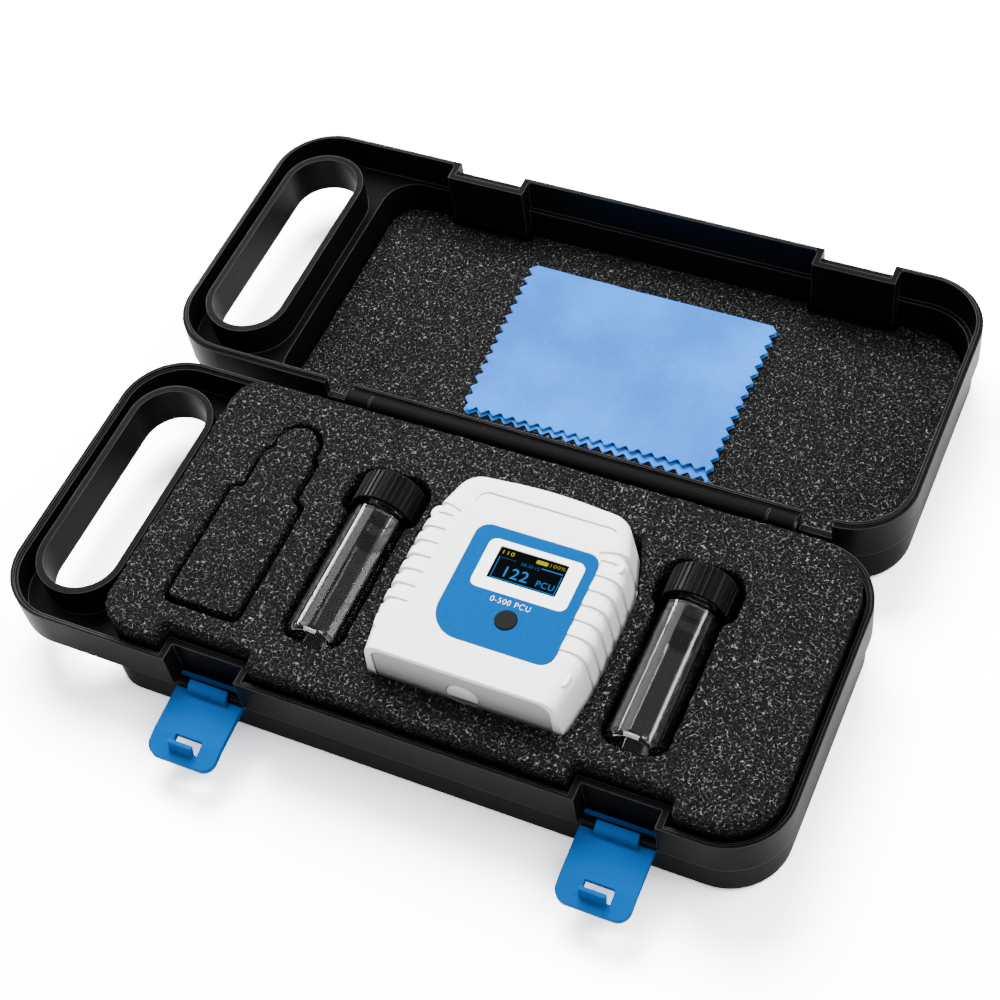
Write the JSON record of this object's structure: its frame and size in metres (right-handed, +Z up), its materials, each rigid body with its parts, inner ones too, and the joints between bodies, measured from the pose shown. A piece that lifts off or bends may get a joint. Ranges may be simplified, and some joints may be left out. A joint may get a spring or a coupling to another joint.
{
  "type": "water colour meter",
  "caption": "Pocket photometer for the colour of water, lying in an open foam-lined carrying case with screw-capped sample vials, a wiping cloth and a foam blank.",
  "frame": {"origin": "on the table under the middle of the case's lower half", "axes": "+X from the handle end to the far end, +Y from the latches to the hinge, +Z up"},
  "size_m": [0.274, 0.256, 0.0545],
  "materials": {
    "case_black": "fine moulded texture",
    "latch_blue": "smooth moulded",
    "foam_charcoal": "coarse open-cell foam",
    "cloth_blue": "microfibre",
    "meter_white": "satin moulded",
    "end_grey": "satin moulded",
    "label_blue": "printed film",
    "window_white": "printed film",
    "display_black": "polished display glass",
    "button_grey": "matt",
    "circuit_board": "solder mask",
    "switch_black": "moulded",
    "pin_brass": "plated",
    "screw_steel": "zinc plated",
    "well_black": "light-tight moulded",
    "seal_rubber": "soft",
    "lens_clear": "clear",
    "filter_glass": "coloured",
    "cell_steel": "plain jacket",
    "contact_steel": "nickel plated",
    "vial_glass": "clear polished",
    "liner_white": "soft sealing disc",
    "cap_black": "ribbed"
  },
  "bodies": {
    "case": {"case_base": "case_black", "latch_axles": "case_black", "hinge_pin": "screw_steel", "foam_insert": "foam_charcoal"},
    "lid": {"case_lid": "case_black", "lid_foam": "foam_charcoal"},
    "cloth": {"cleaning_cloth": "cloth_blue"},
    "left_latch": {"latch_left": "latch_blue"},
    "right_latch": {"latch_right": "latch_blue"},
    "blank": {"foam_blank": "foam_charcoal"},
    "meter": {"meter_front_shell": "meter_white", "meter_back_shell": "meter_white", "meter_end_plate": "end_grey", "cuvette_cover": "meter_white", "label_plate": "label_blue", "window_frame": "window_white", "display_glass": "display_black", "display_board": "circuit_board", "button_switch": "switch_black", "display_pins": "pin_brass", "main_board": "circuit_board", "board_screws": "screw_steel", "board_parts": "switch_black", "cuvette_well": "well_black", "cuvette_seal": "seal_rubber", "lamp": "lens_clear", "focusing_lens": "lens_clear", "colour_filter": "filter_glass", "photodiode": "switch_black", "lamp_and_detector_boards": "circuit_board", "battery_cells": "cell_steel", "battery_holder": "well_black", "battery_contacts": "contact_steel", "shell_screws": "screw_steel"},
    "button": {"power_button": "button_grey"},
    "vial_1": {"vial_1_glass": "vial_glass"},
    "vial_1_seal": {"vial_1_liner": "liner_white"},
    "vial_1_top": {"vial_1_cap": "cap_black"},
    "vial_2": {"vial_2_glass": "vial_glass"},
    "vial_2_seal": {"vial_2_liner": "liner_white"},
    "vial_2_top": {"vial_2_cap": "cap_black"}
  },
  "joints": [
    {"name": "lid_hinge", "type": "hinge", "parent": "case", "child": "lid", "pos_m": [0.022, 0.0597, 0.03315], "axis": [-1, 0, 0], "range_deg": [-180, 0]},
    {"name": "left_latch_hinge", "type": "hinge", "parent": "case", "child": "left_latch", "pos_m": [-0.0552, -0.0544, 0.0178], "axis": [1, 0, 0], "range_deg": [-96, 0]},
    {"name": "right_latch_hinge", "type": "hinge", "parent": "case", "child": "right_latch", "pos_m": [0.0875, -0.0544, 0.0178], "axis": [1, 0, 0], "range_deg": [-96, 0]},
    {"name": "cloth_lift", "type": "slide", "parent": "lid", "child": "cloth", "axis": [0, 0, 1], "range_m": [0, 0.04]},
    {"name": "blank_lift", "type": "slide", "parent": "case", "child": "blank", "axis": [0, 0, 1], "range_m": [0, 0.04]},
    {"name": "meter_lift", "type": "slide", "parent": "case", "child": "meter", "axis": [0, 0, 1], "range_m": [0, 0.06]},
    {"name": "button_press", "type": "slide", "parent": "meter", "child": "button", "axis": [0, 0, -1], "range_m": [0, 0.0005], "stiffness_N_per_m": 400, "springref_m": -0.0005},
    {"name": "vial_1_lift", "type": "slide", "parent": "case", "child": "vial_1", "axis": [0, 0, 1], "range_m": [0, 0.045]},
    {"name": "vial_1_cap_travel", "type": "slide", "parent": "vial_1", "child": "vial_1_seal", "axis": [0, 1, 0], "range_m": [0, 0.0022]},
    {"name": "vial_1_cap_turn", "type": "hinge", "parent": "vial_1_seal", "child": "vial_1_top", "pos_m": [-0.024, -0.0365, 0.036], "axis": [0, 1, 0], "range_deg": [0, 364]},
    {"name": "vial_2_lift", "type": "slide", "parent": "case", "child": "vial_2", "axis": [0, 0, 1], "range_m": [0, 0.045]},
    {"name": "vial_2_cap_travel", "type": "slide", "parent": "vial_2", "child": "vial_2_seal", "axis": [0, 1, 0], "range_m": [0, 0.0022]},
    {"name": "vial_2_cap_turn", "type": "hinge", "parent": "vial_2_seal", "child": "vial_2_top", "pos_m": [0.0855, -0.0365, 0.036], "axis": [0, 1, 0], "range_deg": [0, 364]}
  ],
  "couplings": [
    {"joint": "vial_1_cap_turn", "follows": "vial_1_cap_travel", "rad_per_m": 2856},
    {"joint": "vial_2_cap_turn", "follows": "vial_2_cap_travel", "rad_per_m": 2856}
  ]
}
